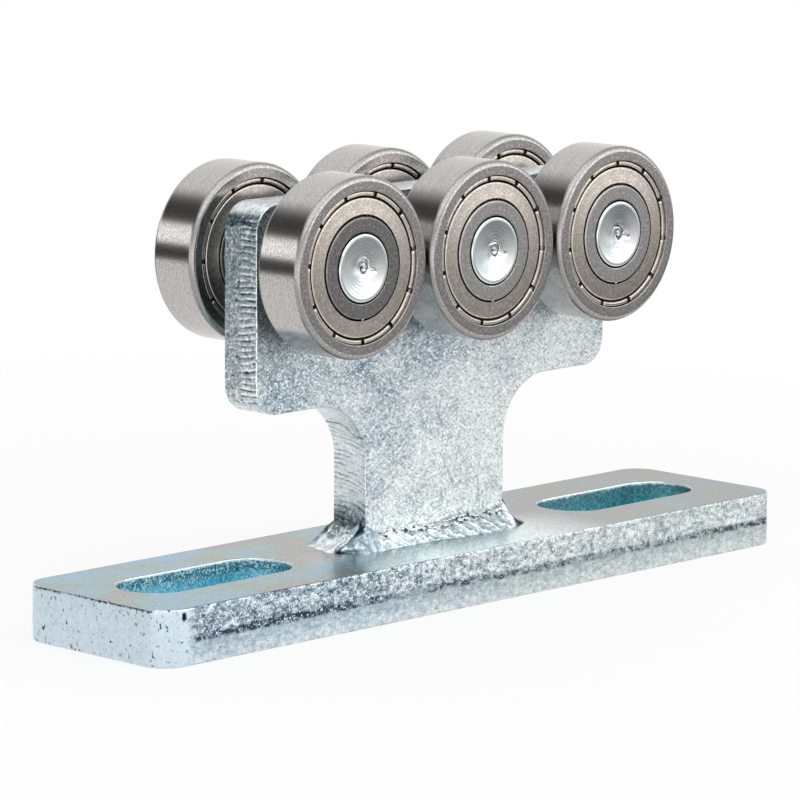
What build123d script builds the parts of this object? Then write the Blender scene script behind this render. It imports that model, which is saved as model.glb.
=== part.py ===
from build123d import *
import math
import os

# Track trolley: a welded tee hanger on a slotted base bar, carried by six ball bearings that roll
# on the two lips of a C shaped track. Millimetres. The origin is the middle of the base bar's
# underside, X runs along the bar, Y along the axles and Z is up. The front row of wheels is at -Y.

# Base bar, cut from flat stock
base_thickness = 10.0
base_corner_radius = 5.0
base_edge_round = 0.4
slot_width = 14.0
slot_length = 37.0
slot_end_margin = 8.0
slot_side_margin = 11.0
slot_neck_distance = 17.0
slot_edge_chamfer = 0.3

# Hanger plate, one tee shaped profile
plate_thickness = 8.0
neck_width = 36.0
neck_height = 27.0
neck_fillet_radius = 11.0
head_corner_radius = 5.0
head_end_margin = 12.0
head_above_axle = 10.5
head_below_axle = 26.5
plate_edge_chamfer = 0.25

# Deep groove ball bearing that serves as a wheel
bearing_bore = 12.0
bearing_width = 10.0
ball_diameter = 5.95
ball_count = 7
race_clearance = 0.05
inner_groove_wall = 1.975
outer_groove_wall = 1.975
groove_conformity = 0.52
inner_shoulder_height = 0.925
outer_shoulder_height = 1.1
outer_corner_radius = 1.0
inner_corner_chamfer = 0.3
bore_corner_radius = 0.5

# Pressed steel shield, crimped into a seat in the outer ring
shield_thickness = 0.3
shield_recess = 0.25
shield_bore_gap = 0.25
shield_seat_step = 0.45
shield_seat_clearance = 0.05
shield_rim_width = 1.2
shield_rim_drop = 0.55
shield_bend_radius = 0.2
curl_radius = 0.42
notch_count = 11
notch_width = 0.5

# Snap cage, moulded in one piece
cage_race_gap = 0.5
cage_shield_gap = 0.4
cage_mouth = 1.6
cage_pocket_clearance = 0.1
cage_relief_width = 1.4
cage_relief_depth = 2.4

# Axles and spacers
axle_end_proud = 0.2
axle_end_chamfer = 0.35
axle_dish_rim = 0.8
axle_dish_depth = 0.35
centre_mark_radius = 0.8
centre_mark_depth = 0.5
spacer_length = 4.0
spacer_wall = 2.5
spacer_chamfer = 0.3

# Spacing of the wheels along the head
wheel_gap = 1.0

# Weld round the neck's foot, laid as overlapping scales. Its round face is struck from an axis
# that lies deeper than the corner between the neck and the bar, which makes the face flatter.
weld_leg_start = 3.2
weld_leg_finish = 4.3
weld_leg_end_left = 5.2
weld_leg_end_right = 4.5
weld_axis_depth = 2.0
weld_scale_pitch = 2.6
weld_scale_step = 0.3

# Turn of the notches in the shields, in degrees from +X towards +Z, from left to right
front_outboard_turns = (9.8, 29.3, 24.3)
back_inboard_turns = (17.9, 18.7, 8.5)
hidden_shield_turns = (3.0, 14.0, 26.0)

# Sizes that follow from those above
ball_radius = ball_diameter / 2
bore_radius = bearing_bore / 2
groove_radius = groove_conformity * ball_diameter
inner_groove_bottom = bore_radius + inner_groove_wall
ball_pitch_radius = inner_groove_bottom + race_clearance + ball_radius
outer_groove_bottom = ball_pitch_radius + ball_radius + race_clearance
wheel_radius = outer_groove_bottom + outer_groove_wall
inner_shoulder_radius = inner_groove_bottom + inner_shoulder_height
outer_shoulder_radius = outer_groove_bottom - outer_shoulder_height
shield_seat_radius = outer_shoulder_radius + shield_seat_step
shield_seat_depth = shield_recess + shield_rim_drop + shield_thickness
cage_back = bearing_width / 2 - shield_seat_depth - cage_shield_gap
axle_pitch = 2 * wheel_radius + wheel_gap
axle_x = (-axle_pitch, 0.0, axle_pitch)
base_length = neck_width + 2 * (slot_neck_distance + slot_length + slot_end_margin)
base_width = slot_width + 2 * slot_side_margin
slot_x = neck_width / 2 + slot_neck_distance + slot_length / 2
head_width = 2 * (axle_pitch + head_end_margin)
head_bottom = base_thickness + neck_height
axle_height = head_bottom + head_below_axle
head_top = axle_height + head_above_axle
wheel_middle_y = plate_thickness / 2 + spacer_length + bearing_width / 2
axle_half_length = wheel_middle_y + bearing_width / 2 + axle_end_proud
COLUMNS = ("left", "middle", "right")

# Two coordinates this close together count as the same one
same_place = 0.01


def base_plate():
    """Flat bar with rounded corners, rolled edges and two long slots."""
    bar = extrude(RectangleRounded(base_length, base_width, base_corner_radius), base_thickness)
    rim = bar.edges().filter_by(Plane.XY)
    bar = fillet(rim, base_edge_round)
    slot = extrude(SlotOverall(slot_length, slot_width), base_thickness)
    for side in (-1, 1):
        bar -= Pos(side * slot_x, 0, 0) * slot
    mouths = [edge for edge in bar.edges().filter_by(Plane.XY)
              if abs(edge.center().Y) < slot_width and abs(edge.center().X) < slot_x + slot_length / 2
              and (edge.center().Z < slot_edge_chamfer / 2
                   or edge.center().Z > base_thickness - slot_edge_chamfer / 2)]
    return chamfer(mouths, slot_edge_chamfer)


def hanger_outline():
    """Tee shaped outline in the XZ plane: rounded head corners and large fillets at the neck."""
    head = Pos(0, (head_bottom + head_top) / 2) * Rectangle(head_width, head_top - head_bottom)
    neck = Pos(0, (base_thickness + head_bottom) / 2) * Rectangle(neck_width, head_bottom - base_thickness)
    tee = head + neck
    inner = [v for v in tee.vertices()
             if abs(abs(v.X) - neck_width / 2) < same_place and v.Y > base_thickness + same_place]
    tee = fillet(inner, neck_fillet_radius)
    outer = [v for v in tee.vertices() if abs(abs(v.X) - head_width / 2) < same_place]
    return fillet(outer, head_corner_radius)


def hanger_plate():
    """Tee plate with three bores for the axles."""
    outline = Plane.XZ * hanger_outline()
    plate = extrude(outline, plate_thickness / 2, both=True)
    rims = [edge for edge in plate.edges()
            if abs(abs(edge.center().Y) - plate_thickness / 2) < same_place
            and edge.center().Z > base_thickness + same_place]
    plate = chamfer(rims, plate_edge_chamfer)
    for x in axle_x:
        plate -= Pos(x, 0, axle_height) * Rot(90, 0, 0) * Cylinder(bore_radius, plate_thickness)
    return plate


def weld_radius(leg):
    """Radius of the weld's round face where it reaches this far along the bar and up the neck."""
    return math.hypot(leg + weld_axis_depth, weld_axis_depth)


def weld_run(length, first_leg, last_leg):
    """One run of weld along X from the origin, a row of tapered scales round its own axis."""
    count = max(1, round(length / weld_scale_pitch))
    points = [(0, 0)]
    for i in range(count):
        radius = weld_radius(first_leg + (last_leg - first_leg) * i / count)
        points.append((length * i / count, radius))
        points.append((length * (i + 1) / count, radius - weld_scale_step))
    points.append((length, 0))
    return revolve(make_face(Polyline(*points, close=True)), Axis.X)


def weld_bead():
    """Fillet weld all round the neck's foot, its scales growing along each long side."""
    half_neck = neck_width / 2
    half_plate = plate_thickness / 2
    axis_z = base_thickness - weld_axis_depth
    runs = []
    for side in (-1, 1):
        long_run = weld_run(neck_width, weld_leg_start, weld_leg_finish)
        runs.append(Pos(-half_neck, side * (half_plate - weld_axis_depth), axis_z) * long_run)
    for end, end_leg, leg in ((-1, weld_leg_end_left, weld_leg_start), (1, weld_leg_end_right, weld_leg_finish)):
        end_run = Rot(0, 0, 90) * weld_run(plate_thickness, end_leg, end_leg)
        runs.append(Pos(end * (half_neck - weld_axis_depth), -half_plate, axis_z) * end_run)
        corner_x = end * (half_neck + end_leg - leg - weld_axis_depth)
        for side in (-1, 1):
            corner_y = side * (half_plate - weld_axis_depth)
            runs.append(Pos(corner_x, corner_y, axis_z) * Sphere(weld_radius(leg)))
    bead = runs[0].fuse(*runs[1:])
    reach = base_length
    below = Pos(0, 0, base_thickness - reach / 2) * Box(reach, reach, reach)
    neck = Pos(0, 0, base_thickness + reach / 2) * Box(neck_width, plate_thickness, reach)
    return bead - below - neck


def axle_end_profile():
    """Half section of one axle end, radius along X and length along Y, ending at the dished face."""
    tip = axle_half_length
    dish_rim = bore_radius - axle_dish_rim
    dish_at_mark = tip - axle_dish_depth * (1 - centre_mark_radius / dish_rim)
    points = [
        (0, 0),
        (bore_radius, 0),
        (bore_radius, tip - axle_end_chamfer),
        (bore_radius - axle_end_chamfer, tip),
        (dish_rim, tip),
        (centre_mark_radius, dish_at_mark),
        (0, dish_at_mark - centre_mark_depth),
    ]
    return make_face(Polyline(*points, close=True))


def axle():
    """Turned pin with a shallow dish and a centre mark in each end."""
    half = revolve(axle_end_profile(), Axis.Y)
    return half + mirror(half, about=Plane.XZ)


def spacer():
    """Plain ring that holds a bearing off the plate."""
    outer_radius = bore_radius + spacer_wall
    ring = Cylinder(outer_radius, spacer_length) - Cylinder(bore_radius, spacer_length)
    rims = [edge for edge in ring.edges().filter_by(GeomType.CIRCLE)
            if edge.radius > bore_radius + same_place]
    return Rot(90, 0, 0) * chamfer(rims, spacer_chamfer)


def inner_ring():
    """Inner ring with its race, a rounded bore and small outer chamfers."""
    half = bearing_width / 2
    wall = inner_shoulder_radius - bore_radius
    section = Pos(bore_radius + wall / 2, 0) * Rectangle(wall, bearing_width)
    outside = [v for v in section.vertices() if v.X > bore_radius + wall / 2]
    section = chamfer(outside, inner_corner_chamfer)
    inside = [v for v in section.vertices()
              if v.X < bore_radius + same_place and abs(abs(v.Y) - half) < same_place]
    section = fillet(inside, bore_corner_radius)
    section -= Pos(inner_groove_bottom + groove_radius, 0) * Circle(groove_radius)
    return revolve(section, Axis.Y)


def outer_ring():
    """Outer ring: rounded tread corners, the race and a seat for a shield in each face."""
    half = bearing_width / 2
    wall = wheel_radius - outer_shoulder_radius
    section = Pos(wheel_radius - wall / 2, 0) * Rectangle(wall, bearing_width)
    tread = [v for v in section.vertices() if v.X > wheel_radius - same_place]
    section = fillet(tread, outer_corner_radius)
    for side in (-1, 1):
        seat_y = side * (half - shield_seat_depth / 2)
        seat = Rectangle(2 * shield_seat_step, shield_seat_depth)
        section -= Pos(outer_shoulder_radius, seat_y) * seat
    section -= Pos(outer_groove_bottom - groove_radius, 0) * Circle(groove_radius)
    return revolve(section, Axis.Y)


def shield_section():
    """Half section of a shield, radius along X and depth below the bearing's face along -Y."""
    rim = shield_seat_radius - shield_seat_clearance
    web = rim - shield_rim_width
    bore = inner_shoulder_radius + shield_bore_gap
    face = -shield_recess
    floor = face - shield_rim_drop
    points = [
        (bore, face),
        (web, face),
        (web, floor),
        (rim, floor),
        (rim, floor - shield_thickness),
        (web - shield_thickness, floor - shield_thickness),
        (web - shield_thickness, face - shield_thickness),
        (bore, face - shield_thickness),
    ]
    sheet = make_face(Polyline(*points, close=True))
    bend = [v for v in sheet.vertices()
            if abs(v.X - web) < same_place and abs(v.Y - face) < same_place]
    sheet = fillet(bend, shield_bend_radius)
    curl = Pos(rim - curl_radius, floor) * Circle(curl_radius)
    under_curl = Pos(rim - curl_radius, floor - curl_radius) * Rectangle(2 * curl_radius, 2 * curl_radius)
    return sheet + (curl - under_curl)


def shield():
    """Pressed shield for the +Y face, its crimped curl divided by notches from +X on."""
    disc = revolve(Pos(0, bearing_width / 2) * shield_section(), Axis.Y)
    rim = shield_seat_radius - shield_seat_clearance
    floor_y = bearing_width / 2 - shield_recess - shield_rim_drop
    for i in range(notch_count):
        angle = 360 * i / notch_count
        notch = Box(4 * curl_radius, 2 * curl_radius, notch_width)
        disc -= Rot(0, -angle, 0) * Pos(rim - curl_radius, floor_y + curl_radius, 0) * notch
    return disc


def balls():
    """The balls of one bearing, evenly spread on their pitch circle."""
    spheres = []
    for i in range(ball_count):
        angle = math.radians(360 * i / ball_count)
        x = ball_pitch_radius * math.cos(angle)
        z = ball_pitch_radius * math.sin(angle)
        spheres.append(Pos(x, 0, z) * Sphere(ball_radius))
    return Compound(children=spheres)


def cage():
    """Snap cage: a ring with a ball pocket at each ball and a relief cut between pockets."""
    outer_radius = outer_shoulder_radius - cage_race_gap
    inner_radius = inner_shoulder_radius + cage_race_gap
    length = cage_back + cage_mouth
    middle = Rot(90, 0, 0)
    ring = middle * Cylinder(outer_radius, length) - middle * Cylinder(inner_radius, length)
    ring = Pos(0, cage_mouth - length / 2, 0) * ring
    pocket = Sphere(ball_radius + cage_pocket_clearance)
    relief = Box(4 * ball_radius, 2 * cage_relief_depth, cage_relief_width)
    for i in range(ball_count):
        angle = 360 * i / ball_count
        half_step = 180 / ball_count
        ring -= Rot(0, -angle, 0) * Pos(ball_pitch_radius, 0, 0) * pocket
        ring -= Rot(0, -angle - half_step, 0) * Pos(ball_pitch_radius, cage_mouth, 0) * relief
    return ring


def save(shape, node):
    """Write one sub-part under its node's name."""
    export_step(shape, f"parts/{node}.step")


def turned(angle):
    """Turn about the wheel's own axis, from +X towards +Z."""
    return Rot(0, -angle, 0)


def save_wheel(pieces, row, side, column):
    """Write the seven pieces on one end of one axle. side is -1 in front and 1 at the back."""
    name = f"{row}_{COLUMNS[column]}"
    x = axle_x[column]
    facing_front = Rot(0, 0, 180)
    outward = facing_front if side < 0 else Rot(0, 0, 0)
    at_wheel = Pos(x, side * wheel_middle_y, axle_height)
    at_spacer = Pos(x, side * (plate_thickness + spacer_length) / 2, axle_height)
    front_turn = front_outboard_turns[column] if side < 0 else back_inboard_turns[column]
    back_turn = hidden_shield_turns[column]
    front_shield = at_wheel * turned(front_turn + 180) * facing_front * pieces["shield"]
    back_shield = at_wheel * turned(back_turn) * pieces["shield"]
    save(at_spacer * pieces["spacer"], f"spacer_{name}")
    save(at_wheel * pieces["inner_ring"], f"inner_ring_{name}")
    save(at_wheel * pieces["outer_ring"], f"outer_ring_{name}")
    save(front_shield if side < 0 else back_shield, f"outboard_shield_{name}")
    save(back_shield if side < 0 else front_shield, f"inboard_shield_{name}")
    save(at_wheel * outward * pieces["cage"], f"cage_{name}")
    save(at_wheel * outward * pieces["balls"], f"balls_{name}")


def main():
    os.makedirs("parts", exist_ok=True)
    save(base_plate(), "base_plate")
    save(hanger_plate(), "hanger_plate")
    save(weld_bead(), "weld_bead")
    pin = axle()
    for column, x in enumerate(axle_x):
        save(Pos(x, 0, axle_height) * pin, f"axle_{COLUMNS[column]}")
    pieces = {
        "spacer": spacer(),
        "inner_ring": inner_ring(),
        "outer_ring": outer_ring(),
        "shield": shield(),
        "cage": cage(),
        "balls": balls(),
    }
    for row, side in (("front", -1), ("back", 1)):
        for column in range(len(COLUMNS)):
            save_wheel(pieces, row, side, column)


main()
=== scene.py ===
"""Looks of a track trolley: a zinc plated tee hanger welded on a slotted bar, with bearings as wheels."""

import math
from functools import partialmethod

import bmesh
import bpy
from mathutils import Matrix, Vector, geometry, noise

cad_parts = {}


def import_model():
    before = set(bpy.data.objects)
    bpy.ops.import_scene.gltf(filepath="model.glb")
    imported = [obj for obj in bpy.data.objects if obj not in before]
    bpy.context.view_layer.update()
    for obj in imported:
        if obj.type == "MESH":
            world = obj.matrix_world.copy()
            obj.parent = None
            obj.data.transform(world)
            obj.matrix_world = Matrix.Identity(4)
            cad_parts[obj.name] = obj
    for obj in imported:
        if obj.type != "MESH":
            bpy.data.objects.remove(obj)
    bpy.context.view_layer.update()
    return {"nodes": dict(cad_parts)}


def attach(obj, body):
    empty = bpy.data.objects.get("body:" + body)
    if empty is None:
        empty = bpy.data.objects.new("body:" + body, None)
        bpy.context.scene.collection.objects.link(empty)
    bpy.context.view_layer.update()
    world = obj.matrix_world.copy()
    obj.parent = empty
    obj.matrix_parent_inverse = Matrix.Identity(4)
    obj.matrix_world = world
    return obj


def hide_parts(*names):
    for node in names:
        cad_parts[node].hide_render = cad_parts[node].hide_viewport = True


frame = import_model()
nodes = frame["nodes"]

MM = 0.001
COLUMNS = ("left", "middle", "right")
ROWS = (("front", -1), ("back", 1))

# Camera, fitted to the photograph: its place in metres and its turn in degrees
CAMERA_PLACE = (-0.61135, -0.58603, 0.17626)
CAMERA_YAW = 45.97
CAMERA_PITCH = 9.50
CAMERA_ROLL = 0.38
CAMERA_FOCAL_PIXELS = 4763.9
PHOTO_WIDTH_PIXELS = 800
SENSOR_WIDTH = 36.0

# Sizes of the pieces made here, in millimetres, the same as the construction's
PLATE_HALF = 4.0
SPACER_LENGTH = 4.0
WHEEL_PITCH = 33.0
AXLE_HEIGHT = 63.5
BASE_HALF = (80.0, 18.0)
BASE_TOP = 10.0
BASE_CORNER = 5.0
SLOT_PLACE = 53.5
SLOT_HALF = (18.5, 7.0)
NECK_HALF = 18.0
NECK_FILLET = 11.0
HEAD_HALF = 45.0
HEAD_BOTTOM = 37.0
HEAD_TOP = 74.0
HEAD_CORNER = 5.0
WHEEL_RADIUS = 16.0
WHEEL_HALF = 5.0
BORE_RADIUS = 6.0
SEAT_RADIUS = 13.375
SEAT_DEPTH = 1.10
OUTER_SHOULDER = 12.925
INNER_SHOULDER = 8.9
GROOVE_RADIUS = 3.094
OUTER_GROOVE_BOTTOM = 14.025
INNER_GROOVE_BOTTOM = 7.975
SHIELD_BORE = 9.15
SHIELD_RIM = 13.325
SHIELD_WEB = 12.125
SHIELD_RECESS = 0.25
SHIELD_DOME = 0.15
SHIELD_FLOOR = 0.80
SHIELD_THICKNESS = 0.30
CRIMP_IN = 12.50
CRIMP_OUT = 13.24
CRIMP_DEPTH = 0.24
NOTCH_COUNT = 11
NOTCH_WIDTH = 0.80
AXLE_TIP = 18.2
AXLE_EDGE = 0.35
PIN_RIM = 5.3
SLOT_RIM = 0.24
WELD_PITCH = 3.1

# Turn of the shields' notches in degrees from +X towards +Z, from the left column to the right one, for
# those that face the camera. Of the others it is guessed
NOTCH_TURNS = {"front": (9.8, 29.3, 24.3), "back": (17.9, 18.7, 8.5)}
HIDDEN_TURNS = (3.0, 14.0, 26.0)

# Fineness of the meshes: points round a turned piece, and spacing along a wall in millimetres
OUTER_RING_POINTS = 192
INNER_RING_POINTS = 144
AXLE_POINTS = 112
AXLE_RINGS = 64
BORE_POINTS = 64
HANGER_SPACING = 0.20
BAR_SPACING = 0.4
WELD_SPACING = 0.13
WELD_ROWS = 48


def smooth(low, high, value):
    """0 below low, 1 above high, and an even curve between them."""
    t = min(1.0, max(0.0, (value - low) / (high - low)))
    return t * t * (3 - 2 * t)


def window(start, rise, fall, end, value):
    """1 from rise to fall, 0 before start and after end, and even curves between them."""
    return smooth(start, rise, value) * smooth(end, fall, value)


def bell(value, width):
    """1 at zero, falling away evenly to both sides."""
    return math.exp(-((value / width) ** 2))


def along(stops, value):
    """Value between (place, value) stops, level beyond the ends."""
    if value <= stops[0][0]:
        return stops[0][1]
    for (x0, y0), (x1, y1) in zip(stops, stops[1:]):
        if value <= x1:
            return y0 + (y1 - y0) * smooth(x0, x1, value)
    return stops[-1][1]


def grain(x, y, z, octaves=1):
    """Smooth random value from about -1 to 1."""
    return noise.fractal((x, y, z), 0.5, 2.0, octaves) if octaves > 1 else noise.noise((x, y, z))


def rounded_outline(corners, steps=5, support=0.06):
    """Closed outline from (x, y, radius) corners, with arcs and a point just beyond each arc's ends."""
    points = []
    count = len(corners)
    for i, (x, y, radius) in enumerate(corners):
        here = Vector((x, y))
        back = (Vector(corners[i - 1][:2]) - here).normalized()
        ahead = (Vector(corners[(i + 1) % count][:2]) - here).normalized()
        if radius <= 0:
            points.append(here)
            continue
        half = back.angle(ahead) / 2
        reach = radius / math.tan(half)
        centre = here + (back + ahead).normalized() * (radius / math.sin(half))
        start = here + back * reach
        finish = here + ahead * reach
        first = start - centre
        swing = math.pi - 2 * half
        turn = 1 if first.x * (finish - centre).y - first.y * (finish - centre).x > 0 else -1
        if support:
            points.append(start + back * support)
        for k in range(steps + 1):
            angle = turn * swing * k / steps
            cos, sin = math.cos(angle), math.sin(angle)
            points.append(centre + Vector((first.x * cos - first.y * sin, first.x * sin + first.y * cos)))
        if support:
            points.append(finish + ahead * support)
    return points


def add_object(name, data, place=(0, 0, 0)):
    """A new object in the scene, its place in metres."""
    obj = bpy.data.objects.new(name, data)
    obj.location = place
    bpy.context.scene.collection.objects.link(obj)
    return obj


def mesh_object(name, vertices, faces, place=(0, 0, 0), sharp=None, tones=None):
    """A smooth object from millimetre points about its own place, its faces turned outwards.

    sharp tells from an edge's two points whether the edge stays hard. tones are shades of the points,
    from 0 for dark to 1 for light."""
    mesh = bpy.data.meshes.new(name)
    mesh.from_pydata([[c * MM for c in v] for v in vertices], [], faces)
    build = bmesh.new()
    build.from_mesh(mesh)
    if tones:
        layer = build.verts.layers.float.new("tone")
        for vertex, tone in zip(build.verts, tones):
            vertex[layer] = tone
    bmesh.ops.remove_doubles(build, verts=build.verts, dist=1e-7)
    bmesh.ops.recalc_face_normals(build, faces=build.faces)
    for face in build.faces:
        face.smooth = True
    if sharp:
        for edge in build.edges:
            edge.smooth = not sharp(*(v.co / MM for v in edge.verts))
    build.to_mesh(mesh)
    build.free()
    return add_object(name, mesh, [c * MM for c in place])


def grid_faces(rows, columns, wrap_rows=False, wrap_columns=False):
    """Quads of a grid of points stored row by row."""
    faces = []
    for i in range(rows if wrap_rows else rows - 1):
        for j in range(columns if wrap_columns else columns - 1):
            a, b = i * columns, (i + 1) % rows * columns
            c, d = j, (j + 1) % columns
            faces.append((a + c, a + d, b + d, b + c))
    return faces


def lathe(name, rows, place):
    """Closed rows of (radius, y), each at its own angle about the Y axis through place."""
    vertices = [(radius * math.cos(angle), y, radius * math.sin(angle))
                for angle, row in rows for radius, y in row]
    return mesh_object(name, vertices, grid_faces(len(rows), len(rows[0][1]), True, True), place)


def even_angles(count):
    return [2 * math.pi * i / count for i in range(count)]


def race(bottom, shoulder, outward):
    """Points of a ball race between its shoulders. outward is 1 in the outer ring and -1 in the inner."""
    centre = bottom - outward * GROOVE_RADIUS
    half = math.sqrt(GROOVE_RADIUS**2 - (shoulder - centre) ** 2)
    across = [half * (1 - k / 6) * outward for k in range(13)]
    return [Vector((centre + outward * math.sqrt(GROOVE_RADIUS**2 - y * y), y)) for y in across]


def both_sides(half):
    """Corners (x, y, radius) and their mirror images at -y, in the order of an outline."""
    return half + [(x, -y, radius) for x, y, radius in reversed(half)]


def outer_ring(name, place):
    w = WHEEL_HALF
    corners = both_sides([
        (OUTER_SHOULDER, -w + SEAT_DEPTH, 0.05),
        (SEAT_RADIUS, -w + SEAT_DEPTH, 0),
        (SEAT_RADIUS, -w, 0.12),
        (WHEEL_RADIUS, -w, 1.0),
    ])
    profile = rounded_outline(corners, steps=8) + race(OUTER_GROOVE_BOTTOM, OUTER_SHOULDER, 1)
    return lathe(name, [(angle, profile) for angle in even_angles(OUTER_RING_POINTS)], place)


def inner_ring(name, place):
    corners = both_sides([(INNER_SHOULDER, WHEEL_HALF, 0.3), (BORE_RADIUS, WHEEL_HALF, 0.45)])
    profile = rounded_outline(corners, steps=6) + race(INNER_GROOVE_BOTTOM, INNER_SHOULDER, -1)
    return lathe(name, [(angle, profile) for angle in even_angles(INNER_RING_POINTS)], place)


def notch_angles(turn):
    """Angles round a shield, close together at its notches, each with the share of the crimp there."""
    half = NOTCH_WIDTH / 2 / CRIMP_OUT
    step = 2 * math.pi / NOTCH_COUNT
    near = [(-2.2, 1.0), (-1.3, 0.97), (-1.0, 0.85), (-0.9, 0.0), (0.0, 0.0),
            (0.9, 0.0), (1.0, 0.85), (1.3, 0.97), (2.2, 1.0)]
    between = 12
    start = half * 2.2
    gap = (step - 2 * start) / between
    result = []
    for i in range(NOTCH_COUNT):
        middle = math.radians(turn) + step * i
        result += [(middle + half * a, share) for a, share in near]
        result += [(middle + start + gap * k, 1.0) for k in range(1, between)]
    return result


def shield(name, place, side, turn):
    """Pressed shield whose crimped rim is cut by notches. side is the face's direction along Y."""
    face, low = SHIELD_RECESS, SHIELD_FLOOR
    under = low + SHIELD_THICKNESS
    groove = low + 0.22
    sheet = rounded_outline([
        (SHIELD_BORE, face + SHIELD_THICKNESS, 0.1),
        (SHIELD_BORE, face, 0.14),
        (SHIELD_WEB, face + SHIELD_DOME, 0.24),
        (SHIELD_WEB + 0.06, groove, 0),
        (CRIMP_IN - 0.05, groove, 0),
    ], steps=5, support=0.05)
    outline = [(p.x, p.y, p.y) for p in sheet]
    crimp = rounded_outline([
        (CRIMP_IN - 0.02, groove, 0),
        (CRIMP_IN, CRIMP_DEPTH + 0.02, 0.28),
        (CRIMP_OUT, CRIMP_DEPTH + 0.06, 0.22),
        (CRIMP_OUT + 0.03, groove, 0),
    ], steps=4, support=0.03)
    outline += [(p.x, p.y, max(p.y, groove)) for p in crimp]
    outline += [(r, d, d) for r, d in (
        (SHIELD_RIM, under),
        (SHIELD_WEB - SHIELD_THICKNESS, under),
        (SHIELD_WEB - SHIELD_THICKNESS, face + SHIELD_DOME + SHIELD_THICKNESS),
    )]
    rows = []
    for angle, share in notch_angles(turn):
        rows.append((angle, [(radius, side * (WHEEL_HALF - sunk - (high - sunk) * share))
                             for radius, high, sunk in outline]))
    piece = lathe(name, rows, place)
    piece.data.materials.append(LOOKS["shield"])
    piece.data.materials.append(LOOKS["groove"])
    points = piece.data.vertices
    for face in piece.data.polygons:
        corners = [points[v].co / MM for v in face.vertices]
        radius = sum(math.hypot(c.x, c.z) for c in corners) / 4
        sunk = WHEEL_HALF - min(abs(c.y) for c in corners)
        if SHIELD_WEB - 0.02 < radius and sunk > groove - 0.1:
            face.material_index = 1
    return piece


def pin_end(x, z, radius, seed):
    """Depth of the pin's end below its tip, and its shade: tool rings, a painted highlight, a torn centre.
    """
    dish = 0.38 * max(0.0, 1 - radius / PIN_RIM) ** 0.9
    drift = 2.2 * grain(x * 0.30, z * 0.30, seed)
    line = math.sin(radius * 2 * math.pi / 0.62 + drift) * smooth(PIN_RIM, PIN_RIM - 0.4, radius)
    line *= 0.5 + grain(x * 0.25, z * 0.25, seed + 4)
    wobble = 0.06 * grain(x * 0.5, z * 0.5, seed * 1.7) * max(0.0, 1 - radius / 4.8)
    turn = math.atan2(z, x) + 0.5 * seed
    curl = smooth(0.35, 0.85, math.sin(turn - 3.4 * radius + grain(x, z, seed))) * smooth(2.2, 0.9, radius)
    tail = bell(z + 0.25 * x + 0.3 * grain(x, 0, seed), 0.26) * window(0.4, 1.0, 1.9, 3.6, x)
    torn = max(curl, 0.8 * tail)
    depth = dish + 0.003 * line + wobble + 0.12 * torn + 0.2 * bell(radius, 0.4)
    # A painted bow-tie highlight across the dish, where the turned lines would catch the light.
    fan_highlight = math.cos(2 * (turn + 0.9)) + 0.5 * math.cos(turn + 1.1)
    tone = 0.76 + 0.08 * line + 0.15 * fan_highlight * window(0.6, 2.0, 4.4, 5.6, radius)
    tone += 0.35 * grain(x * 0.9, z * 0.9, seed + 9, 2) * smooth(3.4, 0.8, radius)
    return depth, tone - 0.62 * torn - 0.5 * smooth(0.5, 0.2, radius)


def axle(name, place):
    """Turned pin, each end with a rounded rim, a shallow dish with tool rings and a torn centre mark."""
    rim = BORE_RADIUS - AXLE_EDGE
    radii = [BORE_RADIUS - AXLE_EDGE * (1 - math.cos(math.pi / 2 * k / 5)) for k in range(6)]
    radii += [rim - 5.6 * k / AXLE_RINGS for k in range(1, AXLE_RINGS + 1)]
    angles = even_angles(AXLE_POINTS)
    vertices = []
    tones = []
    for end in (-1, 1):
        seed = place[0] * 0.37 + end
        for i, radius in enumerate(radii):
            for angle in angles:
                x, z = radius * math.cos(angle), radius * math.sin(angle)
                if i < 6:
                    depth = AXLE_EDGE * (1 - math.sin(math.pi / 2 * i / 5))
                    # The two outermost rings of the rim are painted dark: painted shade of the gap beside
                    # the inner ring.
                    tone = -0.3 if i < 2 else 0.55
                else:
                    depth, tone = pin_end(x, z, radius, seed)
                    depth *= smooth(rim, PIN_RIM, radius)
                vertices.append((x, end * (AXLE_TIP - depth), z))
                tones.append(tone)
        vertices.append((0, end * (AXLE_TIP - pin_end(0, 0, 0, seed)[0]), 0))
        tones.append(0.1)
    columns, rows = len(angles), len(radii)
    per_end = rows * columns + 1
    faces = []
    for end in (0, 1):
        first = end * per_end
        faces += [tuple(first + v for v in f) for f in grid_faces(rows, columns, False, True)]
        last = first + (rows - 1) * columns
        tip = first + rows * columns
        faces += [(last + j, last + (j + 1) % columns, tip) for j in range(columns)]
    faces += [(j, (j + 1) % columns, per_end + (j + 1) % columns, per_end + j) for j in range(columns)]
    return mesh_object(name, vertices, faces, place, tones=tones)


def resample(outline, spacing):
    """Points every spacing or less along a closed outline, each with its outward direction."""
    points = []
    for start, finish in zip(outline, outline[1:] + outline[:1]):
        step = finish - start
        pieces = math.ceil(step.length / spacing) if step.length > 1e-6 else 0
        points += [start + step * (k / pieces) for k in range(pieces)]
    around = zip(points[-1:] + points[:-1], points[1:] + points[:1])
    tangents = [(after - before).normalized() for before, after in around]
    return [(point, Vector((t.y, -t.x))) for point, t in zip(points, tangents)]


def levels(low, high, radius, count, steps=4):
    """Heights across a plate's wall with rounded ends, each with how far the wall stands back there."""
    arc = []
    for k in range(steps + 1):
        angle = math.pi / 2 * k / steps
        arc.append((radius * (1 - math.cos(angle)), radius * (1 - math.sin(angle))))
    inner = [low + radius + (high - low - 2 * radius) * k / count for k in range(1, count)]
    below = [(low + d, i) for d, i in arc]
    above = [(high - d, i) for d, i in reversed(arc)]
    return below + [(h, 0.0) for h in inner] + above


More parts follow.
